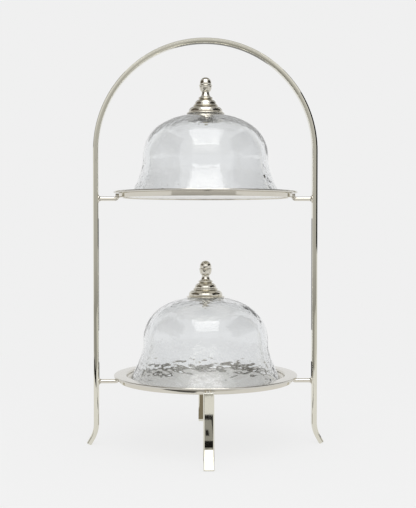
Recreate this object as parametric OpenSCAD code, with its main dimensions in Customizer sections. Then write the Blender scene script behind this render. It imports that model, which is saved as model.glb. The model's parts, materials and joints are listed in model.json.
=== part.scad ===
// Two-tier cake stand: a flat bar bent to a tall arch carries two rings on turned pegs, each ring holds a
// drop-in plate, and each plate has a glass dome with a turned finial. Millimetres, +Z up, the feet stand
// on Z = 0, and the arch lies in the XZ plane with the front towards -Y.

/* [Frame] */
// Width of the flat bar, front to back on the arch
bar_w = 12; // [10:0.5:14]
// Thickness of the flat bar
bar_t = 6; // [5:0.5:7]
// Bevel along the edges of the flat bar
bar_edge = 0.7; // [0.3:0.1:1]
// Width over the arch's straight legs
arch_w = 268; // [266:1:290]
// Height of the arch
arch_h = 486; // [484:1:520]
// Angle that the feet turn out from upright
foot_angle = 30; // [20:1:32]
// Bend radius of the feet, at the middle of the bar
foot_bend = 35; // [25:1:45]
// Straight length below the feet's bend
foot_straight = 8.2; // [4:0.2:12]
// Depth ground off each foot's lower corner so that it stands flat
foot_flat = 0.6; // [0.4:0.1:1]
// Height of the front and back legs above the pegs' middle
leg_over_peg = 7; // [6:0.5:10]

/* [Tiers] */
// Height of the lower plate's rim
lower_z = 84.5; // [80:0.5:90]
// Distance from the lower plate's rim to the upper one
tier_gap = 219; // [218:1:224]
// Outside radius of the support rings
ring_r = 104; // [103:0.5:105]
// Wall of the support rings
ring_t = 4.5; // [4:0.1:4.8]
// Depth of a ring's lower edge below the plate's rim
ring_drop = 8; // [7.5:0.5:9]

/* [Pegs] */
// Diameter of the peg's rod
rod_d = 5; // [4.5:0.1:5.5]
// Depth of the rod's middle below the plate's rim
peg_drop = 8.8; // [8.6:0.1:10]
// Inside bend of the peg's upturned end, at the middle of the rod
rod_bend = 3.2; // [3:0.1:3.4]
// Diameter of the peg's trumpet where it meets the leg
trumpet_d = 9.6; // [9:0.2:11]
// Length of the peg's trumpet
trumpet_l = 3.4; // [3:0.1:5]

/* [Plates] */
// Radius of the plates
plate_r = 110; // [109:0.5:112]
// Radius at which the flat rim turns down into the well
well_r = 97; // [96.5:0.1:97.5]
// Depth of the well
well_d = 5.5; // [5:0.1:6]
// Sheet thickness of the plates
plate_t = 1.6; // [1.2:0.1:1.8]
// Radius of the rolled edge
edge_r = 1.2; // [1:0.1:1.3]

/* [Domes] */
// Radius of the glass at its waist
dome_r = 75; // [72:0.5:76]
// Radius of the flared lip
lip_r = 89.5; // [86:0.5:90]
// Height of the glass
dome_h = 98; // [90:1:100]
// Height of the waist, where the flare ends and the crown starts
waist_h = 42; // [38:1:46]
// Wall of the glass
glass_t = 3; // [2.4:0.1:3.4]
// Squareness of the crown, where 2 is an ellipse
crown_n = 2.35; // [2:0.05:2.8]
// How late the lip flares out
flare_n = 1.6; // [1.2:0.1:2.4]

/* [Finials] */
// Radius of the finial's base ring
base_r = 22.75; // [22:0.25:24]
// Height of the stepped base
base_h = 18; // [17.5:0.5:19]
// Height of the knob above the base
knob_h = 26; // [25:0.5:28]
// Radius of the knob's neck
neck_r = 4.4; // [4:0.1:4.8]
// Radius of the knob's round cap
cap_r = 6.9; // [6.4:0.1:7.2]
// Diameter of the threaded stud
stud_d = 5; // [4.6:0.1:5]

/* [Hidden] */
$fn = 96;
ARC_STEPS = 8;
CROWN_STEPS = 18;
FLARE_STEPS = 10;

// Gaps: between bodies that rest on each other, round a thread or let-in end, and round a loose part
seat_gap = 0.1;
thread_gap = 0.05;
clear_gap = 0.2;

// Frame
bar_x = arch_w / 2 - bar_t / 2;
inner_x = arch_w / 2 - bar_t;
spring_z = arch_h - arch_w / 2;
foot_z = (foot_bend + bar_t / 2) * sin(foot_angle) + foot_straight * cos(foot_angle) - foot_flat;
upper_z = lower_z + tier_gap;
lower_peg_z = lower_z - peg_drop;
upper_peg_z = upper_z - peg_drop;
short_leg_top = lower_peg_z + leg_over_peg;
bend_lap = 0.2;
ground_d = 10;
ground_w = 400;

// Pegs
stub_x = ring_r + 1.3;
rod_x = stub_x + rod_bend;
stub_top = peg_drop - 2 * edge_r - 0.4;
trumpet_land = 0.5;

// Rings
ring_top = -plate_t - seat_gap;
ring_edge = 0.5;

// Plates: the well's wall is two quarter rounds
fillet_r = 3;
shoulder_r = well_d - fillet_r;
floor_r = well_r - fillet_r - shoulder_r;

// Domes, in their own frame with the well's floor at 0
lip_round = glass_t / 2;
crown_h = dome_h - waist_h;
crown_flat = dome_h - 0.8;
crown_flat_in = crown_flat - glass_t;
glass_hole_r = 4;
dome_z = -well_d + seat_gap;

// Finials and the parts that clamp them to the glass
gasket_t = 1.2;
gasket_r = 14;
recess = gasket_t - clear_gap;
finial_z = crown_flat + clear_gap;
inner_gasket_r = 10;
washer_r = 8;
washer_t = 1.2;
washer_hole_r = stud_d / 2 + 0.15;
nut_af = 8;
nut_hex_h = 2.4;
nut_dome_h = 1;
nut_r = nut_af / 2 / cos(30);
nut_dome_r = nut_af / 2 - 0.2;
nut_bore = 3;
inner_gasket_z = crown_flat_in - gasket_t;
washer_z = inner_gasket_z - washer_t;
stud_in_knob = 7;
stud_in_nut = 2.9;
bore_r = stud_d / 2 + thread_gap;

NICKEL = [0.80, 0.78, 0.73];
SPUN = [0.74, 0.73, 0.70];
GLASS = [0.86, 0.89, 0.89, 0.35];
SILICONE = [0.88, 0.88, 0.86];
STEEL = [0.70, 0.70, 0.72];

// Points of an elliptical arc from angle a0 to a1
function arc(x, y, rx, ry, a0, a1, steps = ARC_STEPS) =
    [for (i = [0 : steps]) let (a = a0 + (a1 - a0) * i / steps) [x + rx * cos(a), y + ry * sin(a)]];

// ---- Flat bar ----

// Cross-section of the bar: X across its thickness, Y across its width
module bar_section() {
    x = bar_t / 2;
    y = bar_w / 2;
    e = bar_edge;
    polygon([[-x, e - y], [e - x, -y], [x - e, -y], [x, e - y], [x, y - e], [x - e, y], [e - x, y],
        [-x, y - e]]);
}

// A bend in the XZ plane round the origin, from angle a0 through sweep
module bar_bend(radius, a0, sweep) {
    rotate([90, 0, 0])
        rotate_extrude(angle = sweep, start = a0) translate([radius, 0]) bar_section();
}

// A leg on the +X side, from its turned-out foot up to top
module leg(top) {
    difference() {
        union() {
            translate([bar_x, 0, foot_z]) linear_extrude(top - foot_z) bar_section();
            translate([bar_x + foot_bend, 0, foot_z]) {
                bar_bend(foot_bend, 180, foot_angle);
                rotate([0, -foot_angle, 0]) translate([-foot_bend, 0, -foot_straight])
                    linear_extrude(foot_straight + bend_lap) bar_section();
            }
        }
        translate([0, -ground_w / 2, -ground_d]) cube([ground_w, ground_w, ground_d]);
    }
}

module arch_frame() color(NICKEL) union() {
    leg(spring_z);
    mirror([1, 0, 0]) leg(spring_z);
    translate([0, 0, spring_z]) bar_bend(bar_x, 0, 180);
}

module short_leg(turn) color(NICKEL) rotate([0, 0, turn]) leg(short_leg_top);

module front_leg() short_leg(-90);

module back_leg() short_leg(90);

// ---- Pegs and rings ----

// Turned peg on the +X side: a trumpet brazed to the leg, a rod, and an end turned up against the ring
module peg(z, turn) color(NICKEL) rotate([0, 0, turn]) translate([0, 0, z]) union() {
    translate([rod_x, 0, 0]) rotate([0, 90, 0]) cylinder(d = rod_d, h = inner_x - rod_x);
    translate([rod_x, 0, rod_bend]) rotate([90, 0, 0])
        rotate_extrude(angle = 90, start = 180) translate([rod_bend, 0]) circle(d = rod_d);
    translate([stub_x, 0, rod_bend]) cylinder(d = rod_d, h = stub_top - rod_bend);
    translate([inner_x, 0, 0]) rotate([0, -90, 0]) rotate_extrude() trumpet();
}

module trumpet() {
    dr = (trumpet_d - rod_d) / 2;
    dl = trumpet_l - trumpet_land;
    polygon(concat([[0, 0], [trumpet_d / 2, 0]], arc(trumpet_d / 2, trumpet_l, dr, dl, 270, 180),
        [[0, trumpet_l]]));
}

module upper_left_peg() peg(upper_peg_z, 180);

module upper_right_peg() peg(upper_peg_z, 0);

module lower_left_peg() peg(lower_peg_z, 180);

module lower_right_peg() peg(lower_peg_z, 0);

module lower_front_peg() peg(lower_peg_z, -90);

module lower_back_peg() peg(lower_peg_z, 90);

// Flat hoop with a half-round notch let in for each peg's upturned end
module ring(z, turns) color(NICKEL) translate([0, 0, z]) difference() {
    rotate_extrude() {
        in = ring_r - ring_t;
        e = ring_edge;
        polygon([[in, ring_top - e], [in + e, ring_top], [ring_r - e, ring_top], [ring_r, ring_top - e],
            [ring_r, e - ring_drop], [ring_r - e, -ring_drop], [in + e, -ring_drop], [in, e - ring_drop]]);
    }
    for (turn = turns) rotate([0, 0, turn]) translate([stub_x, 0, -peg_drop])
        cylinder(r = rod_d / 2 + thread_gap, h = peg_drop);
}

module upper_ring() ring(upper_z, [0, 180]);

module lower_ring() ring(lower_z, [-90, 0, 90, 180]);

// ---- Plates ----

// Spun plate: flat rim with a rolled edge, and a well that drops inside the ring
module plate(z) color(SPUN) translate([0, 0, z]) rotate_extrude() polygon(concat(
    [[0, -well_d]],
    arc(floor_r, fillet_r - well_d, fillet_r, fillet_r, -90, 0),
    arc(well_r, -shoulder_r, shoulder_r, shoulder_r, 180, 90),
    arc(plate_r - edge_r, -edge_r, edge_r, edge_r, 90, -90),
    [[plate_r - 2 * edge_r, -plate_t]],
    arc(well_r, -shoulder_r, shoulder_r - plate_t, shoulder_r - plate_t, 90, 180),
    arc(floor_r, fillet_r - well_d, fillet_r + plate_t, fillet_r + plate_t, 0, -90),
    [[0, -well_d - plate_t]]));

module upper_plate() plate(upper_z);

module lower_plate() plate(lower_z);

// ---- Glass domes ----

// Radius of the flare at height h, and the crown as a square-shouldered oval
function flare_x(h) = dome_r + (lip_r - dome_r) * pow(1 - (h - lip_round) / (waist_h - lip_round), flare_n);

function flare(inset) = [for (i = [0 : FLARE_STEPS - 1])
    let (h = lip_round + (waist_h - lip_round) * i / FLARE_STEPS) [flare_x(h) - inset, h]];

function crown(inset, top) = [for (i = [0 : CROWN_STEPS])
    let (a = 90 * i / CROWN_STEPS, h = waist_h + (crown_h - inset) * pow(sin(a), 2 / crown_n))
    if (h < top) [(dome_r - inset) * pow(cos(a), 2 / crown_n), h]];

// Radius at which the crown's curve reaches the flat top
function crown_edge(inset, top) =
    (dome_r - inset) * pow(1 - pow((top - waist_h) / (crown_h - inset), crown_n), 1 / crown_n);

function reversed(points) = [for (i = [len(points) - 1 : -1 : 0]) points[i]];

module dome(z) color(GLASS) translate([0, 0, z + dome_z]) rotate_extrude() polygon(concat(
    flare(0),
    crown(0, crown_flat),
    [[crown_edge(0, crown_flat), crown_flat], [glass_hole_r, crown_flat], [glass_hole_r, crown_flat_in],
        [crown_edge(glass_t, crown_flat_in), crown_flat_in]],
    reversed(crown(glass_t, crown_flat_in)),
    reversed(flare(glass_t)),
    arc(lip_r - lip_round, lip_round, lip_round, lip_round, 180, 350)));

module upper_dome() dome(upper_z);

module lower_dome() dome(lower_z);

// ---- Finials, in a frame whose floor is the glass's flat top ----

module on_glass(z) translate([0, 0, z + dome_z + finial_z]) children();

// Stepped base: base ring, bell, bead, bell, with a recess below for the gasket
module finial_base(z) color(NICKEL) on_glass(z) {
    bead = 0.8;
    bell_1 = [13.6, 3.0, 6.7, 6.0];
    mid_bead = [13.75, 10.3, 1.0];
    bell_2 = [6.6, 11.6, 6.4, 6.0];
    rotate_extrude() polygon(concat(
        [[washer_hole_r, recess], [gasket_r + clear_gap, recess], [gasket_r + clear_gap, 0]],
        arc(base_r - bead, bead, bead, bead, -90, 90),
        [[bell_1[0] + bell_1[2] - 0.5, 2 * bead + 0.5]],
        arc(bell_1[0], bell_1[1], bell_1[2], bell_1[3], 0, 80),
        arc(mid_bead[0], mid_bead[1], mid_bead[2], mid_bead[2], -90, 90),
        arc(bell_2[0], bell_2[1], bell_2[2], bell_2[3], 0, 80),
        [[bell_2[0] + 0.6, base_h], [washer_hole_r, base_h]]));
}

// Knob: ridge, waist, goblet, collar and round cap, drilled from below for the stud
module finial_knob(z) color(NICKEL) on_glass(z) translate([0, 0, base_h]) {
    ridge_r = 8.6;
    ridge_h = 2;
    waist = 8.8;
    goblet_r = 7.3;
    collar_r = 8;
    collar_z = 15.6;
    cap_z = knob_h - cap_r;
    rotate_extrude() polygon(concat(
        [[0, stud_in_knob + 0.5], [bore_r, stud_in_knob + 0.5], [bore_r, 0], [ridge_r - 1, 0]],
        arc(ridge_r - 1, ridge_h / 2 + 0.2, 1, ridge_h / 2, -60, 60),
        reversed(arc(ridge_r - 0.6, waist, ridge_r - 0.6 - neck_r, waist - ridge_h - 0.2, 180, 270)),
        arc(neck_r, collar_z, goblet_r - neck_r, collar_z - waist, -90, 0),
        [[collar_r, collar_z + 0.4], [collar_r, collar_z + 1.0], [cap_r * 0.96, collar_z + 1.4]],
        arc(0, cap_z, cap_r, cap_r, -12, 90)));
}

module disc(r_out, r_in, h) rotate_extrude() translate([r_in, 0]) square([r_out - r_in, h]);

module finial_gasket(z) color(SILICONE) translate([0, 0, z + dome_z + crown_flat])
    disc(gasket_r, washer_hole_r, gasket_t);

module inner_gasket(z) color(SILICONE) translate([0, 0, z + dome_z + inner_gasket_z])
    disc(inner_gasket_r, washer_hole_r, gasket_t);

module washer(z) color(STEEL) translate([0, 0, z + dome_z + washer_z])
    disc(washer_r, washer_hole_r, washer_t);

// Threaded stud from the cap nut up into the knob
module stud(z) color(STEEL) {
    low = washer_z - stud_in_nut;
    high = finial_z + base_h + stud_in_knob;
    translate([0, 0, z + dome_z + low]) cylinder(d = stud_d, h = high - low);
}

// Low cap nut with a shallow dome, below the washer
module cap_nut(z) color(NICKEL) translate([0, 0, z + dome_z + washer_z]) rotate([180, 0, 0]) difference() {
    union() {
        cylinder(r = nut_r, h = nut_hex_h, $fn = 6);
        rotate_extrude() polygon(concat([[0, nut_hex_h - 0.5], [nut_dome_r, nut_hex_h - 0.5]],
            arc(0, nut_hex_h, nut_dome_r, nut_dome_h, 0, 90)));
    }
    translate([0, 0, -1]) cylinder(r = bore_r, h = nut_bore + 1);
}

module upper_finial_base() finial_base(upper_z);

module lower_finial_base() finial_base(lower_z);

module upper_finial_knob() finial_knob(upper_z);

module lower_finial_knob() finial_knob(lower_z);

module upper_finial_gasket() finial_gasket(upper_z);

module lower_finial_gasket() finial_gasket(lower_z);

module upper_inner_gasket() inner_gasket(upper_z);

module lower_inner_gasket() inner_gasket(lower_z);

module upper_washer() washer(upper_z);

module lower_washer() washer(lower_z);

module upper_stud() stud(upper_z);

module lower_stud() stud(lower_z);

module upper_cap_nut() cap_nut(upper_z);

module lower_cap_nut() cap_nut(lower_z);

arch_frame();
front_leg();
back_leg();
upper_ring();
lower_ring();
upper_left_peg();
upper_right_peg();
lower_left_peg();
lower_right_peg();
lower_front_peg();
lower_back_peg();
upper_plate();
lower_plate();
upper_dome();
lower_dome();
upper_finial_base();
lower_finial_base();
upper_finial_knob();
lower_finial_knob();
upper_finial_gasket();
lower_finial_gasket();
upper_inner_gasket();
lower_inner_gasket();
upper_washer();
lower_washer();
upper_stud();
lower_stud();
upper_cap_nut();
lower_cap_nut();
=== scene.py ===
"""Two-tier cake stand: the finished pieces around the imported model, in a plain pale studio."""
import json
import math

import bmesh
import bpy
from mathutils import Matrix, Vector


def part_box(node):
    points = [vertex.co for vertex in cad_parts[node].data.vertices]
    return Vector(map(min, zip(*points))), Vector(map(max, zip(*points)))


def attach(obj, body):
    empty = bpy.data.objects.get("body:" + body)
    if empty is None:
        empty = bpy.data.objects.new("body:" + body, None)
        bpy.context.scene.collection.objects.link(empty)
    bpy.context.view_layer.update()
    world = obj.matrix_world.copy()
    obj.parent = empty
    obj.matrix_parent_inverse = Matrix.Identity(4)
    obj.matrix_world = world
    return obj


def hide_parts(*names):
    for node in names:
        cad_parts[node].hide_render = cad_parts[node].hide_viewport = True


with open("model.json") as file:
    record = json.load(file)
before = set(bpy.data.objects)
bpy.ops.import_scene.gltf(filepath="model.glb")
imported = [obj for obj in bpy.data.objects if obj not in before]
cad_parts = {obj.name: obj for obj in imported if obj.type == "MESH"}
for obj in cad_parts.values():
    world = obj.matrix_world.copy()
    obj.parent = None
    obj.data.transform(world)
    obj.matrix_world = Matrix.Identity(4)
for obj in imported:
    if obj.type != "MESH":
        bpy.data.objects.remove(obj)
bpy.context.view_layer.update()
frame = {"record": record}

MM = 0.001
TIERS = ("upper", "lower")
RECORD = frame["record"]
BODY = {node: body for body, nodes in RECORD["behaviour"]["bodies"].items() for node in nodes}


# ---- Node trees ----

class Wire:
    """An output socket with arithmetic: each operator adds a Math node to the socket's tree."""

    def __init__(self, tree, socket):
        self.tree = tree
        self.socket = socket

    def math(self, operation, first, second=0.0):
        sockets = {0: first, 1: second}
        return self.tree.add("ShaderNodeMath", {"operation": operation}, sockets)

    def __add__(self, other):
        return self.math("ADD", self, other)

    __radd__ = __add__

    def __sub__(self, other):
        return self.math("SUBTRACT", self, other)

    def __rsub__(self, other):
        return self.math("SUBTRACT", other, self)

    def __mul__(self, other):
        return self.math("MULTIPLY", self, other)

    __rmul__ = __mul__

    def __truediv__(self, other):
        return self.math("DIVIDE", self, other)

    def __rtruediv__(self, other):
        return self.math("DIVIDE", other, self)


class Tree:
    """A node tree that is emptied and then filled by add()."""

    def __init__(self, node_tree):
        self.nodes = node_tree.nodes
        self.links = node_tree.links
        self.nodes.clear()

    def add(self, kind, settings=None, sockets=None, output=0):
        node = self.nodes.new(kind)
        for name, value in (settings or {}).items():
            if name == "stops":
                set_stops(node.color_ramp, value)
            else:
                setattr(node, name, value)
        for name, value in (sockets or {}).items():
            socket = find_socket(node.inputs, name)
            if isinstance(value, Wire):
                self.links.new(value.socket, socket)
            else:
                socket.default_value = value
        return Wire(self, find_socket(node.outputs, output)) if node.outputs else node

    def mix(self, share, first, second):
        """Colour between first and second."""
        sockets = {"Factor_Float": share, "A_Color": first, "B_Color": second}
        return self.add("ShaderNodeMix", {"data_type": "RGBA"}, sockets, "Result_Color")

    def noise(self, place, size, detail=2.0, stretch=(1.0, 1.0, 1.0)):
        """Noise from 0 to 1 with features of about size metres, stretched along the axes."""
        scale = [1 / (size * s) for s in stretch]
        at = self.add("ShaderNodeMapping", None, {"Vector": place, "Scale": scale})
        return self.add("ShaderNodeTexNoise", None, {"Vector": at, "Scale": 1.0, "Detail": detail}, 0)


def find_socket(sockets, name):
    if isinstance(name, int):
        return sockets[name]
    return next(s for s in sockets if name in (s.identifier, s.name))


def set_stops(ramp, stops):
    """stops are (position, colour) pairs, and the ramp starts with two."""
    while len(ramp.elements) < len(stops):
        ramp.elements.new(1.0)
    for element, (position, colour) in zip(ramp.elements, stops):
        element.position = position
        element.color = colour


# ---- Materials ----

def new_material(name):
    material = bpy.data.materials.new(name)
    material.use_nodes = True
    return material, Tree(material.node_tree)


def close_material(tree, sockets):
    surface = tree.add("ShaderNodeBsdfPrincipled", None, sockets)
    tree.add("ShaderNodeOutputMaterial", None, {"Surface": surface})


def object_place(tree):
    return tree.add("ShaderNodeTexCoord", output="Object")


def axis_distance(tree, place):
    """Distance from the stand's upright axis."""
    flat = tree.add("ShaderNodeVectorMath", {"operation": "MULTIPLY"}, {0: place, 1: (1.0, 1.0, 0.0)})
    return tree.add("ShaderNodeVectorMath", {"operation": "LENGTH"}, {0: flat}, "Value")


def polished_nickel(name, warm, cool, lines, shine):
    """Hand-buffed nickel. lines is the depth in mm of the lathe's fine turning lines, or 0 on the bent
    bar, and shine is the roughness where it is brightest."""
    material, tree = new_material(name)
    place = object_place(tree)
    drift = tree.noise(place, 30 * MM)
    haze = tree.noise(place, 2.5 * MM, 4.0)
    buff = tree.noise(place, 0.5 * MM, 3.0, (1.0, 1.0, 14.0))
    height = drift * 0.03
    if lines:
        level = tree.add("ShaderNodeSeparateXYZ", None, {0: place}, "Z")
        ring = tree.add("ShaderNodeTexNoise", {"noise_dimensions": "1D"},
                        {"W": level, "Scale": 1 / (0.35 * MM), "Detail": 2.0})
        height = height + ring * lines
    bump = tree.add("ShaderNodeBump", None, {"Strength": 1.0, "Distance": MM, "Height": height})
    close_material(tree, {
        "Base Color": tree.mix(drift * 0.6 + haze * 0.4, warm, cool),
        "Metallic": 1.0,
        "Roughness": haze * 0.04 + buff * 0.02 + shine,
        "Normal": bump,
    })
    return material


def spun_nickel():
    """Sheet spun over a form: fine rings round the axis and a softer shine."""
    material, tree = new_material("spun_nickel")
    place = object_place(tree)
    radius = axis_distance(tree, place)
    fine = tree.add("ShaderNodeTexNoise", {"noise_dimensions": "1D"},
                    {"W": radius, "Scale": 1 / (0.45 * MM), "Detail": 3.0})
    broad = tree.add("ShaderNodeTexNoise", {"noise_dimensions": "1D"},
                     {"W": radius, "Scale": 1 / (4 * MM), "Detail": 1.0})
    drift = tree.noise(place, 45 * MM)
    height = fine * 0.006 + broad * 0.02 + drift * 0.05
    bump = tree.add("ShaderNodeBump", None, {"Strength": 1.0, "Distance": MM, "Height": height})
    close_material(tree, {
        "Base Color": tree.mix(fine * 0.5 + drift * 0.5, (0.63, 0.60, 0.54, 1), (0.70, 0.69, 0.65, 1)),
        "Metallic": 1.0,
        "Roughness": fine * 0.07 + drift * 0.05 + 0.09,
        "Normal": bump,
    })
    return material


def blown_glass():
    """Clear glass with faint upright cord lines and a slight grey-blue tint."""
    material, tree = new_material("blown_glass")
    place = object_place(tree)
    cord_lines = tree.noise(place, 16 * MM, 3.0, (1.0, 1.0, 0.35))
    bump = tree.add("ShaderNodeBump", None, {"Strength": 1.0, "Distance": MM, "Height": cord_lines * 0.10})
    close_material(tree, {
        "Base Color": tree.mix(cord_lines, (0.905, 0.915, 0.922, 1), (0.932, 0.94, 0.945, 1)),
        "Roughness": 0.0,
        "IOR": 1.5,
        "Transmission Weight": 1.0,
        "Normal": bump,
    })
    return material


def silicone():
    """Pale matt rubber for the gaskets."""
    material, tree = new_material("silicone")
    place = object_place(tree)
    grain = tree.noise(place, 0.6 * MM, 3.0)
    bump = tree.add("ShaderNodeBump", None, {"Strength": 0.5, "Distance": MM, "Height": grain * 0.02})
    close_material(tree, {
        "Base Color": tree.mix(grain, (0.76, 0.76, 0.73, 1), (0.84, 0.84, 0.82, 1)),
        "Roughness": grain * 0.15 + 0.4,
        "Normal": bump,
    })
    return material


def turned_steel():
    """Plain machined steel with turning rings, for the stud and the washer."""
    material, tree = new_material("turned_steel")
    place = object_place(tree)
    radius = axis_distance(tree, place)
    rings = tree.add("ShaderNodeTexNoise", {"noise_dimensions": "1D"},
                     {"W": radius, "Scale": 1 / (0.2 * MM), "Detail": 2.0})
    bump = tree.add("ShaderNodeBump", None, {"Strength": 1.0, "Distance": MM, "Height": rings * 0.006})
    close_material(tree, {
        "Base Color": tree.mix(rings, (0.52, 0.52, 0.53, 1), (0.62, 0.62, 0.64, 1)),
        "Metallic": 1.0,
        "Roughness": rings * 0.12 + 0.22,
        "Normal": bump,
    })
    return material


BAR_NICKEL = polished_nickel("bar_nickel", (0.72, 0.695, 0.60, 1), (0.78, 0.76, 0.66, 1),
                             lines=0.0, shine=0.012)
TURNED_NICKEL = polished_nickel("turned_nickel", (0.64, 0.605, 0.53, 1), (0.74, 0.71, 0.63, 1),
                                lines=0.008, shine=0.02)
SPUN_NICKEL = spun_nickel()
GLASS = blown_glass()
SILICONE = silicone()
STEEL = turned_steel()


# ---- Shapes ----

ON_AXIS = 1e-6
CORNER_SHARE = 0.45


def arc(x, y, rx, ry, start, end, steps=8):
    """Points of an elliptical arc, angles in degrees."""
    angles = [math.radians(start + (end - start) * i / steps) for i in range(steps + 1)]
    return [(x + rx * math.cos(a), y + ry * math.sin(a)) for a in angles]


def softened(profile, radius, steps=3, least_turn=25):
    """The closed profile with its sharp corners rounded, apart from those on the axis.
    A corner takes no more than CORNER_SHARE of the sides next to it."""
    points = []
    for i, point in enumerate(profile):
        before, here, after = (Vector(profile[k % len(profile)]) for k in (i - 1, i, i + 1))
        into, away = here - before, after - here
        if point[0] < ON_AXIS or math.degrees(into.angle(away)) < least_turn:
            points.append(tuple(point))
            continue
        cut = min(radius, into.length * CORNER_SHARE, away.length * CORNER_SHARE)
        start = here - into.normalized() * cut
        end = here + away.normalized() * cut
        for step in range(steps + 1):
            t = step / steps
            points.append(tuple(start * (1 - t) ** 2 + here * 2 * t * (1 - t) + end * t ** 2))
    return points


def mesh_object(name, bm, sharp=40):
    bmesh.ops.recalc_face_normals(bm, faces=bm.faces)
    mesh = bpy.data.meshes.new(name)
    bm.to_mesh(mesh)
    bm.free()
    mesh.shade_smooth()
    mesh.set_sharp_from_angle(angle=math.radians(sharp))
    piece = bpy.data.objects.new(name, mesh)
    bpy.context.scene.collection.objects.link(piece)
    return piece


def turned(name, profile, level, steps=160, hex_flats=None):
    """A piece turned about the stand's axis from a closed (radius, height) profile in mm.
    hex_flats cuts six flats at that distance from the axis."""
    bm = bmesh.new()
    loops = []
    for radius, height in profile:
        z = level + height * MM
        if radius < ON_AXIS:
            loops.append([bm.verts.new((0, 0, z))])
            continue
        loop = []
        for i in range(steps):
            angle = math.tau * i / steps
            reach = radius
            if hex_flats:
                from_flat = (angle + math.pi / 6) % (math.pi / 3) - math.pi / 6
                reach = min(radius, hex_flats / math.cos(from_flat))
            loop.append(bm.verts.new((reach * MM * math.cos(angle), reach * MM * math.sin(angle), z)))
        loops.append(loop)
    for low, high in zip(loops, loops[1:] + loops[:1]):
        for i in range(steps):
            corners = [low[i % len(low)], low[(i + 1) % steps % len(low)],
                       high[(i + 1) % steps % len(high)], high[i % len(high)]]
            corners = list(dict.fromkeys(corners))
            if len(corners) > 2:
                bm.faces.new(corners)
    return mesh_object(name, bm)


def place(piece, node, material):
    """The piece stands for a CAD node: it rides on that node's body, and the node is hidden."""
    piece.data.materials.clear()
    piece.data.materials.append(material)
    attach(piece, BODY[node])
    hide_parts(node)
    return piece


# ---- Geometry Nodes ----

def new_node_group(name, inputs):
    """An empty geometry tree with named inputs. Returns the group, its tree and its input wires by name."""
    group = bpy.data.node_groups.new(name, "GeometryNodeTree")
    group.interface.new_socket("Geometry", in_out="OUTPUT", socket_type="NodeSocketGeometry")
    group.interface.new_socket("Geometry", in_out="INPUT", socket_type="NodeSocketGeometry")
    for label, kind in inputs:
        group.interface.new_socket(label, in_out="INPUT", socket_type="NodeSocket" + kind)
    tree = Tree(group)
    source = group.nodes.new("NodeGroupInput")
    wires = {s.name: Wire(tree, s) for s in source.outputs if s.name}
    return group, tree, wires


def close_group(tree, geometry, material):
    real = tree.add("GeometryNodeRealizeInstances", None, {0: geometry})
    painted = tree.add("GeometryNodeSetMaterial", None, {"Geometry": real, "Material": material})
    tree.add("NodeGroupOutput", None, {0: painted})


def grown(name, base, group, values):
    """A plain mesh from the group's result on the base mesh, with its inputs set by identifier."""
    carrier = bpy.data.objects.new(name + "_carrier", base)
    bpy.context.scene.collection.objects.link(carrier)
    modifier = carrier.modifiers.new("shape", "NODES")
    identifiers = {s.name: s.identifier for s in group.interface.items_tree if s.in_out == "INPUT"}
    modifier.node_group = group
    for label, value in values.items():
        modifier[identifiers[label]] = value
    bpy.context.view_layer.update()
    graph = bpy.context.evaluated_depsgraph_get()
    mesh = bpy.data.meshes.new_from_object(carrier.evaluated_get(graph))
    mesh.name = name
    carrier.modifiers.remove(modifier)
    bpy.data.objects.remove(carrier)
    piece = bpy.data.objects.new(name, mesh)
    bpy.context.scene.collection.objects.link(piece)
    return piece


BEND_STEPS = 40
EDGE_STEPS = 4
SIDE_CUTS = 4
DIMPLE_SQUASH = 2.2
SWAY_RATE = 0.2
SWAY_SEED = 7.0
CALM_SHARE = 0.42
HELIX_STEPS = 24


def bent_bar_group():
    """Sweeps a flat bar along a polyline whose corners are bent to the radius in their bend attribute.
    The bar's narrow sides are crowned, as rolled bar's are."""
    group, tree, given = new_node_group("bent_bar", [
        ("Bar width", "Float"), ("Bar thickness", "Float"), ("Edge radius", "Float"), ("Crown", "Float"),
        ("Material", "Material")])
    line = tree.add("GeometryNodeMeshToCurve", None, {0: given["Geometry"]})
    bend = tree.add("GeometryNodeInputNamedAttribute", {"data_type": "FLOAT"}, {"Name": "bend"}, "Attribute")
    path = tree.add("GeometryNodeFilletCurve", {"mode": "POLY"},
                    {"Curve": line, "Radius": bend, "Count": BEND_STEPS})
    box = tree.add("GeometryNodeCurvePrimitiveQuadrilateral", None,
                   {"Width": given["Bar width"], "Height": given["Bar thickness"]})
    rounded = tree.add("GeometryNodeFilletCurve", {"mode": "POLY"},
                       {"Curve": box, "Radius": given["Edge radius"], "Count": EDGE_STEPS})
    fine = tree.add("GeometryNodeSubdivideCurve", None, {"Curve": rounded, "Cuts": SIDE_CUTS})
    at = tree.add("GeometryNodeInputPosition")
    across = tree.add("ShaderNodeSeparateXYZ", None, {0: at}, "X")
    off_middle = tree.add("ShaderNodeSeparateXYZ", None, {0: at}, "Y") / (given["Bar thickness"] * 0.5)
    drawn_in = off_middle * off_middle * (given["Crown"] / (given["Bar width"] * 0.5))
    crowned = tree.add("ShaderNodeCombineXYZ", None,
                       {"X": across * (1.0 - drawn_in), "Y": off_middle * (given["Bar thickness"] * 0.5)})
    section = tree.add("GeometryNodeSetPosition", None, {"Geometry": fine, "Position": crowned})
    bar = tree.add("GeometryNodeCurveToMesh", None,
                   {"Curve": path, "Profile Curve": section, "Fill Caps": True})
    close_group(tree, bar, given["Material"])
    return group


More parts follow.
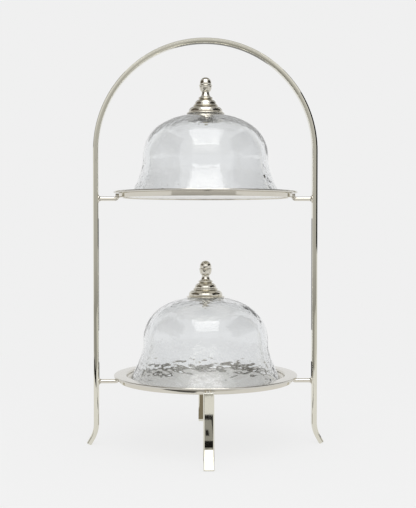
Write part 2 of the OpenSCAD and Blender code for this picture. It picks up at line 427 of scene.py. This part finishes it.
def ripple_group():
    """Moves a smooth blown form in and out along its normals: dimples that grow towards the rim,
    and a slow sway. The dimples are wider than they are tall, and CALM_SHARE is the share of their
    full depth that they have above the start height."""
    group, tree, given = new_node_group("blown_ripple", [
        ("Dimple depth", "Float"), ("Dimple size", "Float"), ("Sway", "Float"), ("Start height", "Float"),
        ("Full height", "Float"), ("Seed", "Float"), ("Material", "Material")])
    at = tree.add("GeometryNodeInputPosition")
    normal = tree.add("GeometryNodeInputNormal")
    level = tree.add("ShaderNodeSeparateXYZ", None, {0: at}, "Z")
    squash = (1.0, 1.0, DIMPLE_SQUASH)
    flattened = tree.add("ShaderNodeVectorMath", {"operation": "MULTIPLY"}, {0: at, 1: squash})
    seeded = {"noise_dimensions": "4D"}
    dimples = tree.add("ShaderNodeTexNoise", seeded,
                       {"Vector": flattened, "W": given["Seed"],
                        "Scale": 1.0 / given["Dimple size"], "Detail": 2.0})
    slow = tree.add("ShaderNodeTexNoise", seeded,
                    {"Vector": at, "W": given["Seed"] + SWAY_SEED,
                     "Scale": SWAY_RATE / given["Dimple size"], "Detail": 0.0})
    near_rim = tree.add("ShaderNodeMapRange", {"interpolation_type": "SMOOTHSTEP"},
                        {"Value": level, "From Min": given["Start height"], "From Max": given["Full height"],
                         "To Min": CALM_SHARE, "To Max": 1.0})
    push = (dimples - 0.5) * near_rim * given["Dimple depth"] + (slow - 0.5) * given["Sway"]
    offset = tree.add("ShaderNodeVectorMath", {"operation": "SCALE"}, {0: normal, "Scale": push})
    moved = tree.add("GeometryNodeSetPosition", None, {"Geometry": given["Geometry"], "Offset": offset})
    close_group(tree, moved, given["Material"])
    return group


def thread_group():
    """A screw thread round a core: a helix with a pointed ridge for its section."""
    group, tree, given = new_node_group("thread", [
        ("Radius", "Float"), ("Pitch", "Float"), ("Length", "Float"), ("Bottom", "Float"),
        ("Material", "Material")])
    turns = given["Length"] / given["Pitch"]
    helix = tree.add("GeometryNodeCurveSpiral", None,
                     {"Resolution": HELIX_STEPS, "Rotations": turns, "Start Radius": given["Radius"],
                      "End Radius": given["Radius"], "Height": given["Length"]})
    ridge = tree.add("GeometryNodeCurvePrimitiveCircle", {"mode": "RADIUS"},
                     {"Resolution": 3, "Radius": given["Pitch"] * 0.5})
    wound = tree.add("GeometryNodeCurveToMesh", None,
                     {"Curve": helix, "Profile Curve": ridge, "Fill Caps": True})
    lift = tree.add("ShaderNodeCombineXYZ", None, {"Z": given["Bottom"]})
    raised = tree.add("GeometryNodeTransform", None, {"Geometry": wound, "Translation": lift})
    both = tree.add("GeometryNodeJoinGeometry", None, {0: raised})
    tree.links.new(given["Geometry"].socket, both.socket.node.inputs[0])
    close_group(tree, both, given["Material"])
    return group


# ---- Flat bar: arch and short legs ----

ARCH_LOW, ARCH_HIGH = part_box("arch_frame")
BAR_W = ARCH_HIGH.y - ARCH_LOW.y
BAR_T = 6 * MM
BAR_EDGE = 0.6 * MM
BAR_CROWN = 0.85 * MM
BAR_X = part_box("upper_right_peg")[1].x + BAR_T / 2
FOOT_ANGLE = math.radians(30)
FOOT_BEND = 35 * MM
FOOT_STRAIGHT = 8.2 * MM
FOOT_FLAT = 0.6 * MM
SAWN_BEVEL = 0.5 * MM
# Just under a true half circle, so that the arch's two top bends don't end on one point.
ARCH_BEND = BAR_X * 0.9999
WELD = 0.005 * MM


def leg_points():
    """The foot's end and its corner, on the +X side, before the corner is bent to its radius."""
    corner_cut = FOOT_BEND * math.tan(FOOT_ANGLE / 2)
    bend_top = ((FOOT_BEND + BAR_T / 2) * math.sin(FOOT_ANGLE)
                + FOOT_STRAIGHT * math.cos(FOOT_ANGLE) - FOOT_FLAT)
    corner = Vector((BAR_X, 0, bend_top - corner_cut))
    down = Vector((math.sin(FOOT_ANGLE), 0, -math.cos(FOOT_ANGLE)))
    return corner + down * (corner_cut + FOOT_STRAIGHT), corner


def bar_line(points, bends):
    """A polyline mesh with a bend radius at each point."""
    mesh = bpy.data.meshes.new("bar_line")
    mesh.from_pydata([tuple(p) for p in points], [(i, i + 1) for i in range(len(points) - 1)], [])
    mesh.attributes.new("bend", "FLOAT", "POINT").data.foreach_set("value", bends)
    return mesh


def stand_on_ground(piece):
    """Cuts off what is below the ground and closes the cut."""
    bm = bmesh.new()
    bm.from_mesh(piece.data)
    bmesh.ops.remove_doubles(bm, verts=bm.verts, dist=WELD)
    everything = bm.verts[:] + bm.edges[:] + bm.faces[:]
    bmesh.ops.bisect_plane(bm, geom=everything, plane_co=(0, 0, 0), plane_no=(0, 0, 1), clear_inner=True)
    bmesh.ops.holes_fill(bm, edges=[e for e in bm.edges if e.is_boundary], sides=0)
    bmesh.ops.recalc_face_normals(bm, faces=bm.faces)
    bm.to_mesh(piece.data)
    bm.free()
    piece.data.shade_smooth()


def finish_bar(piece, node):
    """Softened sawn ends, and flat faces that stay flat in the reflections."""
    stand_on_ground(piece)
    bevel = piece.modifiers.new("sawn_ends", "BEVEL")
    bevel.width = SAWN_BEVEL
    bevel.segments = 2
    bevel.limit_method = "ANGLE"
    bevel.angle_limit = math.radians(40)
    flatten = piece.modifiers.new("flat_faces", "WEIGHTED_NORMAL")
    flatten.weight = 90
    place(piece, node, BAR_NICKEL)


BAR_GROUP = bent_bar_group()
BAR_INPUTS = {"Bar width": BAR_W, "Bar thickness": BAR_T, "Edge radius": BAR_EDGE,
              "Crown": BAR_CROWN, "Material": BAR_NICKEL}


def arch():
    end, corner = leg_points()
    top = Vector((BAR_X, 0, ARCH_HIGH.z - BAR_T / 2))
    right = [end, corner, top]
    left = [Vector((-p.x, 0, p.z)) for p in reversed(right)]
    bends = [0, FOOT_BEND, ARCH_BEND]
    line = bar_line(right + left, bends + bends[::-1])
    finish_bar(grown("arch_bar", line, BAR_GROUP, BAR_INPUTS), "arch_frame")


def short_leg(node, side):
    """side is -1 at the front and 1 at the back."""
    end, corner = leg_points()
    top = Vector((BAR_X, 0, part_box(node)[1].z))
    points = [Vector((0, side * p.x, p.z)) for p in (end, corner, top)]
    line = bar_line(points, [0, FOOT_BEND, 0])
    finish_bar(grown(node + "_bar", line, BAR_GROUP, BAR_INPUTS), node)


arch()
short_leg("front_leg", -1)
short_leg("back_leg", 1)


# ---- Pegs and rings ----

ROD_R = 2.5 * MM
ROD_BEND = 3.2 * MM
TRUMPET_R = 4.8 * MM
TRUMPET_L = 3.4 * MM
TRUMPET_LAND = 0.5 * MM
ROD_SIDES = 40
ROD_BEND_STEPS = 12
# How far below the tip, in mm, and the share of the rod's radius there.
ROD_TIP = ((0.5, 1.0), (0.15, 0.93), (0.0, 0.8))
HOOP_W = 4.5
HOOP_EDGE = 0.7


def peg_stations(leg_face, stub_x, level, top):
    """Centre, direction and radius along the peg on the +X side, from the leg to the tip."""
    inward, up = Vector((-1, 0, 0)), Vector((0, 0, 1))
    stations = [(Vector((leg_face, 0, level)), inward, TRUMPET_R)]
    trumpet = arc(TRUMPET_R, TRUMPET_L, TRUMPET_R - ROD_R, TRUMPET_L - TRUMPET_LAND, 270, 180, 10)
    for radius, along in trumpet:
        stations.append((Vector((leg_face - along, 0, level)), inward, radius))
    bend_x = stub_x + ROD_BEND
    for i in range(ROD_BEND_STEPS + 1):
        angle = math.radians(90 * i / ROD_BEND_STEPS)
        centre = Vector((bend_x - ROD_BEND * math.sin(angle), 0, level + ROD_BEND * (1 - math.cos(angle))))
        stations.append((centre, inward * math.cos(angle) + up * math.sin(angle), ROD_R))
    for drop, shrink in ROD_TIP:
        stations.append((Vector((stub_x, 0, top - drop * MM)), up, ROD_R * shrink))
    return stations


def peg(node, turn):
    """turn is the angle in degrees from +X to the peg's leg."""
    low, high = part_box(node)
    level = low.z + TRUMPET_R
    reach = [abs(v) for v in ((low.x, high.x) if turn % 180 == 0 else (low.y, high.y))]
    leg_face, tip = max(reach), min(reach)
    bm = bmesh.new()
    loops = []
    spin = math.radians(turn)
    for centre, along, radius in peg_stations(leg_face, tip + ROD_R, level, high.z):
        side = Vector((0, 1, 0))
        across = along.cross(side)
        loop = []
        for i in range(ROD_SIDES):
            a = math.tau * i / ROD_SIDES
            p = centre + (side * math.cos(a) + across * math.sin(a)) * radius
            loop.append(bm.verts.new((p.x * math.cos(spin) - p.y * math.sin(spin),
                                      p.x * math.sin(spin) + p.y * math.cos(spin), p.z)))
        loops.append(loop)
    for low_loop, high_loop in zip(loops, loops[1:]):
        for i in range(ROD_SIDES):
            j = (i + 1) % ROD_SIDES
            bm.faces.new((low_loop[i], low_loop[j], high_loop[j], high_loop[i]))
    bm.faces.new(loops[0])
    bm.faces.new(loops[-1])
    place(mesh_object(node + "_turned", bm), node, TURNED_NICKEL)


for tier in TIERS:
    peg(f"{tier}_right_peg", 0)
    peg(f"{tier}_left_peg", 180)
peg("lower_front_peg", -90)
peg("lower_back_peg", 90)


def ring(tier):
    low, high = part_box(f"{tier}_ring")
    outer, inner, tall = high.x / MM, high.x / MM - HOOP_W, (high.z - low.z) / MM
    hoop = softened([(inner, 0), (outer, 0), (outer, tall), (inner, tall)], HOOP_EDGE, 5)
    place(turned(f"{tier}_ring_hoop", hoop, low.z, 256), f"{tier}_ring", TURNED_NICKEL)


# ---- Plates ----

WELL_R = 97
WELL_D = 5.5
PLATE_T = 1.6
EDGE_R = 1.2
FILLET_R = 3


def plate(tier):
    """Flat rim with a rolled edge, and a well whose wall is two quarter rounds."""
    low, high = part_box(f"{tier}_plate")
    rim = high.x / MM
    shoulder = WELL_D - FILLET_R
    floor = WELL_R - FILLET_R - shoulder
    turn = EDGE_R
    upper = ([(0, -WELL_D)] + arc(floor, FILLET_R - WELL_D, FILLET_R, FILLET_R, -90, 0, 10)
             + arc(WELL_R, -shoulder, shoulder, shoulder, 180, 90, 10)[1:])
    edge = arc(rim - turn, -turn, turn, turn, 90, -90, 12)
    under = ([(rim - 2 * turn, -PLATE_T)]
             + arc(WELL_R, -shoulder, shoulder - PLATE_T, shoulder - PLATE_T, 90, 180, 8)
             + arc(floor, FILLET_R - WELL_D, FILLET_R + PLATE_T, FILLET_R + PLATE_T, 0, -90, 10)[1:]
             + [(0, -WELL_D - PLATE_T)])
    place(turned(f"{tier}_plate_spun", upper + edge + under, high.z, 288), f"{tier}_plate", SPUN_NICKEL)


# ---- Glass domes ----

WAIST_R = 75
WAIST_H = 42
GLASS_T = 3
GLASS_TOP = 97.2
DOME_H = 98
GLASS_HOLE = 4
CROWN_N = 2.35
FLARE_N = 1.6
DIMPLE_SIZE = 6 * MM
SWAY = 0.5 * MM
DIMPLES_START = 40 * MM
DIMPLES_FULL = 16 * MM
# Each dome's seed and the depth of its dimples: the lower glass is the rougher one.
DOME_GLASS = {"upper": (3.0, 0.65 * MM), "lower": (8.5, 1.05 * MM)}
RIPPLE_GROUP = ripple_group()


def flare(inset, lip, steps=34):
    """The bell's skirt, from the lip up to the waist."""
    low = GLASS_T / 2
    rise = WAIST_H - low
    heights = [low + rise * i / steps for i in range(steps)]
    return [(WAIST_R + (lip - WAIST_R) * (1 - (h - low) / rise) ** FLARE_N - inset, h) for h in heights]


def crown(inset, top, steps=60):
    """The square-shouldered oval above the waist, up to the flat top."""
    points = []
    for i in range(steps + 1):
        a = math.radians(90) * i / steps
        height = WAIST_H + (DOME_H - WAIST_H - inset) * math.sin(a) ** (2 / CROWN_N)
        if height >= top:
            break
        points.append(((WAIST_R - inset) * max(math.cos(a), 0) ** (2 / CROWN_N), height))
    return points


def flat_top(edge, height, steps=12):
    return [(edge + (GLASS_HOLE - edge) * i / steps, height) for i in range(1, steps + 1)]


def dome(tier, seed, dimple_depth):
    """A blown bell with a rolled lip and a hole at its top."""
    low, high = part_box(f"{tier}_dome")
    lip = high.x / MM
    roll = GLASS_T / 2
    inside_top = GLASS_TOP - GLASS_T
    outer_crown = crown(0, GLASS_TOP)
    inner_crown = crown(GLASS_T, inside_top)
    outside = flare(0, lip) + outer_crown + flat_top(outer_crown[-1][0], GLASS_TOP)
    inside = flare(GLASS_T, lip) + inner_crown + flat_top(inner_crown[-1][0], inside_top)
    lip_roll = arc(lip - roll, roll, roll, roll, 180, 345, 11)
    profile = outside + inside[::-1] + lip_roll[1:]
    smooth = turned(f"{tier}_dome_form", profile, low.z, 300)
    base = smooth.data
    bpy.data.objects.remove(smooth)
    values = {"Dimple depth": dimple_depth, "Dimple size": DIMPLE_SIZE, "Sway": SWAY,
              "Start height": low.z + DIMPLES_START, "Full height": low.z + DIMPLES_FULL,
              "Seed": seed, "Material": GLASS}
    piece = grown(f"{tier}_dome_blown", base, RIPPLE_GROUP, values)
    piece.data.shade_smooth()
    place(piece, f"{tier}_dome", GLASS)


# ---- Finials and the parts that clamp them to the glass ----

STUD_R = 2.5
HOLE_R = STUD_R + 0.15
BORE_R = STUD_R + 0.05
GASKET_R = 14
GASKET_GAP = 0.2
GASKET_RECESS = 1.0
BASE_BEAD = 0.8
BASE_SHOULDER = 0.5
BELL_RISE = 6.0
TOP_R = 7.2
THREAD_PITCH = 0.8
THREAD_DEPTH = 0.45
THREAD_BITE = 0.03
STUD_CHAMFER = 0.3
SOFT_EDGE = 0.35
PRESSED_EDGE = 0.2
THREAD_GROUP = thread_group()


def finial_base(tier):
    """Base ring, bell, bead and bell, with a recess below for the gasket."""
    low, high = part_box(f"{tier}_finial_base")
    radius, tall = high.x / MM, (high.z - low.z) / MM
    bead = BASE_BEAD
    recess = GASKET_R + GASKET_GAP
    profile = ([(HOLE_R, GASKET_RECESS), (recess, GASKET_RECESS), (recess, 0)]
               + arc(radius - bead, bead, bead, bead, -90, 90, 10)
               + [(19.8, 2 * bead + BASE_SHOULDER)]
               + arc(13.6, 3.0, 6.7, BELL_RISE, 0, 80, 16)
               + arc(13.75, 10.3, 1.0, 1.0, -90, 90, 10)
               + arc(6.6, 11.6, 6.4, BELL_RISE, 0, 80, 16)
               + [(TOP_R, tall), (HOLE_R, tall)])
    base = turned(f"{tier}_finial_base_turned", softened(profile, 0.15, 2), low.z)
    place(base, f"{tier}_finial_base", TURNED_NICKEL)


def finial_knob(tier):
    """Ridge, waist, goblet, collar and round cap."""
    low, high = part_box(f"{tier}_finial_knob")
    tall = (high.z - low.z) / MM
    neck, goblet, collar, cap = 4.4, 7.3, 8.0, 6.9
    ridge, waist, collar_z = 8.6, 8.8, 15.6
    drilled = 7.5
    cove = arc(ridge - 0.6, waist, ridge - 0.6 - neck, waist - 2.2, 180, 270, 14)
    profile = ([(0, drilled), (BORE_R, drilled), (BORE_R, 0), (ridge - 1, 0)]
               + arc(ridge - 1, 1.2, 1, 1, -60, 60, 8)
               + cove[::-1]
               + arc(neck, collar_z, goblet - neck, collar_z - waist, -90, 0, 14)[1:]
               + [(collar, collar_z + 0.4), (collar, collar_z + 1.0), (cap * 0.96, collar_z + 1.4)]
               + arc(0, tall - cap, cap, cap, -12, 90, 20)[:-1] + [(0, tall)])
    knob = turned(f"{tier}_finial_knob_turned", softened(profile, 0.2, 2), low.z, 128)
    place(knob, f"{tier}_finial_knob", TURNED_NICKEL)


def flat_ring(node, suffix, material, edge):
    """A gasket or washer: a flat ring with softened edges."""
    low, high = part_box(node)
    outer, tall = high.x / MM, (high.z - low.z) / MM
    profile = softened([(HOLE_R, 0), (outer, 0), (outer, tall), (HOLE_R, tall)], edge, 4)
    place(turned(f"{node}_{suffix}", profile, low.z, 96), node, material)


def stud(tier):
    """A plain core with chamfered ends, and a thread that stops one pitch short of each end."""
    node = f"{tier}_stud"
    low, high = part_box(node)
    tall = (high.z - low.z) / MM
    pitch = THREAD_PITCH
    root, end = STUD_R - THREAD_DEPTH, STUD_CHAMFER
    core = turned(node + "_core", [(0, 0), (root - end, 0), (root, end), (root, tall - end),
                                   (root - end, tall), (0, tall)], low.z, 48)
    base = core.data
    bpy.data.objects.remove(core)
    values = {"Radius": (root + THREAD_BITE) * MM, "Pitch": pitch * MM,
              "Length": (tall - 2 * pitch) * MM, "Bottom": low.z + pitch * MM, "Material": STEEL}
    piece = grown(node + "_threaded", base, THREAD_GROUP, values)
    place(piece, node, STEEL)


def cap_nut(tier):
    """Low hexagon nut with chamfered corners and a shallow dome, below the washer."""
    node = f"{tier}_cap_nut"
    low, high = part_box(node)
    flats = high.y / MM
    corner = flats / math.cos(math.pi / 6)
    hexagon = 2.4
    tall = (high.z - low.z) / MM
    chamfer, tapped = 0.35, 3.0
    crown_r = flats - 0.2
    profile = ([(BORE_R, 0), (flats - 0.1, 0), (corner, chamfer), (corner, hexagon - chamfer),
                (crown_r, hexagon)]
               + arc(0, hexagon, crown_r, tall - hexagon, 0, 90, 10)[1:-1]
               + [(0, tall), (0, tapped), (BORE_R, tapped)])
    hung = [(radius, tall - height) for radius, height in reversed(profile)]
    place(turned(node + "_hex", hung, low.z, 96, flats), node, TURNED_NICKEL)


for tier in TIERS:
    ring(tier)
    plate(tier)
    dome(tier, *DOME_GLASS[tier])
    finial_base(tier)
    finial_knob(tier)
    flat_ring(f"{tier}_finial_gasket", "soft", SILICONE, SOFT_EDGE)
    flat_ring(f"{tier}_inner_gasket", "soft", SILICONE, SOFT_EDGE)
    flat_ring(f"{tier}_washer", "pressed", STEEL, PRESSED_EDGE)
    stud(tier)
    cap_nut(tier)


# ---- Studio ----

PALE = 0.871
PALE_COLOUR = (PALE, PALE, PALE, 1)
WHITE = (1.0, 1.0, 1.0, 1)
FLOOR_REACH = 6.0
SHADOW_SHARE = 0.11
SHADOW_NEAR = 0.3
SHADOW_FAR = 0.9


def stage_mesh(name, corners, material):
    mesh = bpy.data.meshes.new(name)
    mesh.from_pydata([tuple(c) for c in corners], [], [tuple(range(len(corners)))])
    mesh.materials.append(material)
    card = bpy.data.objects.new(name, mesh)
    bpy.context.scene.collection.objects.link(card)
    return card


def glow(name, colour, strength=1.0):
    material, tree = new_material(name)
    light = tree.add("ShaderNodeEmission", None, {"Color": colour, "Strength": strength})
    tree.add("ShaderNodeOutputMaterial", None, {"Surface": light})
    return material


def floor_material():
    """Pale paper that mostly glows, so that it meets the backdrop without a line, and takes a faint
    shadow near the stand."""
    material, tree = new_material("pale_floor")
    distance = axis_distance(tree, object_place(tree))
    share = tree.add("ShaderNodeMapRange", {"interpolation_type": "SMOOTHSTEP"},
                     {"Value": distance, "From Min": SHADOW_NEAR, "From Max": SHADOW_FAR,
                      "To Min": SHADOW_SHARE, "To Max": 0.0})
    light = tree.add("ShaderNodeEmission", None, {"Color": PALE_COLOUR, "Strength": 1.0})
    paper = tree.add("ShaderNodeBsdfDiffuse", None, {"Color": (0.9, 0.9, 0.9, 1)})
    both = tree.add("ShaderNodeMixShader", None, {"Fac": share, 1: light, 2: paper})
    tree.add("ShaderNodeOutputMaterial", None, {"Surface": both})
    return material


def panel(name, middle, across, up, material, shines=False, through_glass=False):
    """A light or a flag beside the stand, which reflections see and the camera doesn't. across and up
    are its full width and height. One that shines also lights matt surfaces, and one that is seen
    through_glass also shows through the domes."""
    middle, across, up = Vector(middle), Vector(across) / 2, Vector(up) / 2
    corners = [middle - across - up, middle + across - up, middle + across + up, middle - across + up]
    piece = stage_mesh(name, corners, material)
    piece.visible_camera = False
    piece.visible_shadow = False
    piece.visible_diffuse = shines
    piece.visible_transmission = through_glass
    return piece


def cross_card(name, middle, wide, tall, material, **seen):
    """An upright card in front of the stand or behind it."""
    return panel(name, middle, (wide, 0, 0), (0, 0, tall), material, **seen)


def side_card(name, middle, wide, tall, material, **seen):
    """An upright card to the left or the right of the stand."""
    return panel(name, middle, (0, wide, 0), (0, 0, tall), material, **seen)


def level_card(name, middle, wide, deep, material, **seen):
    """A card that lies on the floor or hangs level overhead."""
    return panel(name, middle, (wide, 0, 0), (0, deep, 0), material, **seen)


def room_shade(tree):
    """The room in front by height: dim and warm below, and as pale as the backdrop at the top."""
    level = tree.add("ShaderNodeSeparateXYZ", None, {0: object_place(tree)}, "Z")
    stops = [(0.0, (0.34, 0.335, 0.32, 1)), (0.16, (0.48, 0.475, 0.46, 1)), (0.40, (0.55, 0.545, 0.53, 1)),
             (0.60, (0.62, 0.615, 0.605, 1)), (0.80, (0.76, 0.755, 0.75, 1)), (1.0, PALE_COLOUR)]
    return tree.add("ShaderNodeValToRGB", {"stops": stops}, {"Fac": level})


def room_material():
    material, tree = new_material("room_front")
    light = tree.add("ShaderNodeEmission", None, {"Color": room_shade(tree), "Strength": 1.0})
    tree.add("ShaderNodeOutputMaterial", None, {"Surface": light})
    return material


def clear_glow(name, strength, shaded=False):
    """Light that adds to what is behind it, for a card that one piece sees. It is plain white, or
    shaded as the room is."""
    material, tree = new_material(name)
    colour = room_shade(tree) if shaded else WHITE
    light = tree.add("ShaderNodeEmission", None, {"Color": colour, "Strength": strength})
    clear = tree.add("ShaderNodeBsdfTransparent")
    both = tree.add("ShaderNodeAddShader", None, {0: light, 1: clear})
    tree.add("ShaderNodeOutputMaterial", None, {"Surface": both})
    return material


def link_light(light, state, piece):
    """The light falls on all but this piece (EXCLUDE) or on it alone (INCLUDE), as small flags would
    make it. A card is black to a piece that it doesn't light."""
    linked = bpy.data.collections.new(light.name + "_linked")
    linked.objects.link(piece)
    for entry in linked.collection_objects:
        entry.light_linking.link_state = state
    light.light_linking.receiver_collection = linked


def backdrop():
    world = bpy.data.worlds.new("pale_backdrop")
    bpy.context.scene.world = world
    world.use_nodes = True
    tree = Tree(world.node_tree)
    sky = tree.add("ShaderNodeBackground", None, {"Color": PALE_COLOUR, "Strength": 1.0})
    tree.add("ShaderNodeOutputWorld", None, {"Surface": sky})
    corners = [(x * FLOOR_REACH, y * FLOOR_REACH, 0) for x, y in ((-1, -1), (1, -1), (1, 1), (-1, 1))]
    floor = stage_mesh("floor", corners, floor_material())
    floor.visible_shadow = False


BLACK = glow("black_cloth", (0.012, 0.011, 0.010, 1))
BROWN = glow("brown_cloth", (0.12, 0.10, 0.08, 1))
GREY = glow("grey_cloth", (0.30, 0.29, 0.27, 1))
SMOKE = glow("smoke_cloth", (0.42, 0.42, 0.41, 1))
# Painted shade: a dim olive glow for the floor under the stand, in place of the stand's shadow there.
UNDER_STAND_SHADE = glow("olive_mat", (0.25, 0.22, 0.165, 1))
DIM = glow("dim_floor", (0.345, 0.34, 0.32, 1))
BRIGHT = glow("bright_floor", (0.66, 0.655, 0.63, 1))
PAPER = glow("pale_paper", PALE_COLOUR)
SOFTBOX_W = 0.82
COLUMN_W = 0.84
COLUMN_Y = -0.90


def softbox(arch_piece):
    """The main light: a large box that leans over the stand from the front, with a skirt below it."""
    white = glow("soft_white", WHITE, 3.0)
    box = panel("softbox", (0, -0.525, 1.169), (SOFTBOX_W, 0, 0), (0, 0.693, 0.40), white,
                shines=True, through_glass=True)
    skirt = panel("softbox_skirt", (0, COLUMN_Y, 0.89), (COLUMN_W, 0, 0), (0, 0.02, 0.14), white,
                  shines=True, through_glass=True)
    link_light(box, "EXCLUDE", arch_piece)
    link_light(skirt, "EXCLUDE", arch_piece)


def room():
    """What the front reflects: the room, and a floor that is darker on the left."""
    cross_card("room_front", (0, -1.7, 0.5), 3.4, 1.0, room_material())
    level_card("dim_floor", (-0.79, -1.15, 0.002), 1.82, 1.1, DIM)
    level_card("bright_floor", (0.91, -1.15, 0.002), 1.58, 1.1, BRIGHT)


def dark_surround(arch_piece):
    """Dark cloth at the sides, behind and overhead, which draws the glass's and the nickel's edges.
    The two papers look dark to the arch alone."""
    side_card("right_flag", (1.0, -0.1, 0.96), 1.5, 1.02, BLACK, through_glass=True)
    side_card("left_flag", (-1.0, -0.1, 0.96), 1.5, 1.02, BROWN, through_glass=True)
    right_paper = side_card("right_paper", (1.2, -0.2, 0.70), 2.8, 1.0, PAPER)
    cross_card("back_flag", (0, 1.3, 1.3), 2.0, 1.0, SMOKE, through_glass=True)
    back_paper = cross_card("back_paper", (0, 1.3, 0.13), 0.5, 0.30, PAPER)
    back_shade = cross_card("back_shade", (0, 1.29, 0.13), 0.5, 0.30, clear_glow("back_grey", 0.27))
    level_card("ceiling", (0, 0.6, 1.8), 2.0, 1.4, GREY, through_glass=True)
    link_light(right_paper, "EXCLUDE", arch_piece)
    link_light(back_paper, "EXCLUDE", arch_piece)
    link_light(back_shade, "INCLUDE", arch_piece)


def floor_marks():
    """Dark gaps and mats on the floor, and painted shade under the stand, which the legs and the rings
    reflect.
    """
    level_card("left_gap", (-0.39, -0.51, 0.003), 0.56, 0.185, BLACK)
    level_card("back_gap", (0, 0.575, 0.003), 0.28, 0.25, BLACK)
    level_card("mat_border", (0.004, -0.301, 0.0028), 0.032, 0.274, BLACK)
    level_card("front_mat", (0.0017, -0.3335, 0.003), 0.0194, 0.133, DIM)
    level_card("mat_spot", (0.003, -0.313, 0.0034), 0.0045, 0.034, BLACK)
    # Painted shade under the stand: a dim olive sheet that only reflections see, in place of the stand's
    # shadow on the floor.
    level_card("under_mat", (0, 0.05, 0.003), 0.10, 0.30, UNDER_STAND_SHADE)


def arch_light(arch_piece):
    """The arch sees the room's own shade where the softbox and its column stand for the rest."""
    column = cross_card("softbox_foot", (0, COLUMN_Y, 0.61), COLUMN_W, 0.42, glow("foot_white", WHITE, 1.2))
    shade = cross_card("arch_card", (0, -0.895, 0.68), COLUMN_W, 0.56,
                       clear_glow("arch_pale", 1.0, shaded=True))
    sky = panel("arch_sky", (0, -0.528, 1.162), (COLUMN_W, 0, 0), (0, 0.72, 0.415),
                clear_glow("sky_pale", 0.78))
    link_light(column, "EXCLUDE", arch_piece)
    link_light(shade, "INCLUDE", arch_piece)
    link_light(sky, "INCLUDE", arch_piece)


def foot_light(leg_piece):
    """A bright card that only the front leg's foot catches."""
    card = cross_card("foot_card", (0, -0.55, 0.235), 0.16, 0.43, clear_glow("foot_glow", 1.5))
    link_light(card, "INCLUDE", leg_piece)


CAMERA_LENS = 70.87
CAMERA_DISTANCE = 1.2
CAMERA_TURN = math.radians(-1.5)
CAMERA_HEIGHT = 0.2629
CAMERA_TARGET = Vector((0.0029, 0, 0.2285))


def camera():
    """A long lens in front, level with the gap between the tiers, looking slightly down."""
    data = bpy.data.cameras.new("camera")
    data.lens = CAMERA_LENS
    data.sensor_width = 36
    data.clip_start = 0.05
    view = bpy.data.objects.new("camera", data)
    bpy.context.scene.collection.objects.link(view)
    view.location = (CAMERA_DISTANCE * math.sin(CAMERA_TURN),
                     -CAMERA_DISTANCE * math.cos(CAMERA_TURN), CAMERA_HEIGHT)
    view.rotation_euler = (CAMERA_TARGET - view.location).to_track_quat("-Z", "Y").to_euler()
    bpy.context.scene.camera = view


arch_bar, front_leg_bar = (bpy.data.objects[name] for name in ("arch_bar", "front_leg_bar"))
backdrop()
softbox(arch_bar)
room()
dark_surround(arch_bar)
floor_marks()
arch_light(arch_bar)
foot_light(front_leg_bar)
camera()
bpy.context.scene.view_settings.view_transform = "Standard"
